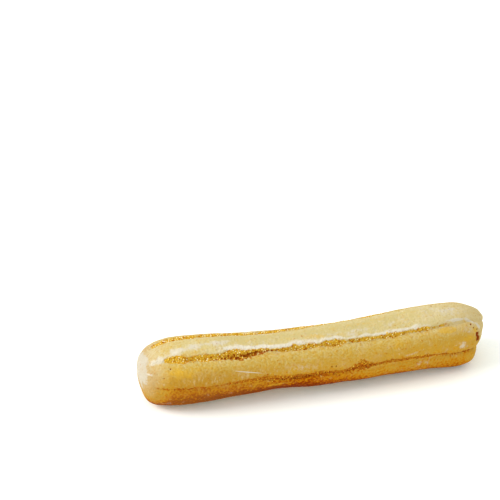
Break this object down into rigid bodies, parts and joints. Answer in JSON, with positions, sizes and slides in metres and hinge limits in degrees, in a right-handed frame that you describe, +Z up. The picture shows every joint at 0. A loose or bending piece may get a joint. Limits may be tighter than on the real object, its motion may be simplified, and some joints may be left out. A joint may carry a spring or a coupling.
{
  "type": "churro",
  "caption": "Short ribbed stick of piped and fried dough with rounded ends, slightly bowed, lying on its side; a pastry to eat by hand.",
  "frame": {"origin": "centre of the footprint's bounding box, on the surface that the stick lies on", "axes": "+X along the stick, +Z up, -Y towards the side that bows out"},
  "size_m": [0.1104, 0.0226, 0.0198],
  "materials": {
    "fried_dough": "golden fried crust with a slight oily sheen, paler on the upper ribs and browned in the grooves"
  },
  "bodies": {
    "root": {"churro": "fried_dough"}
  },
  "joints": []
}
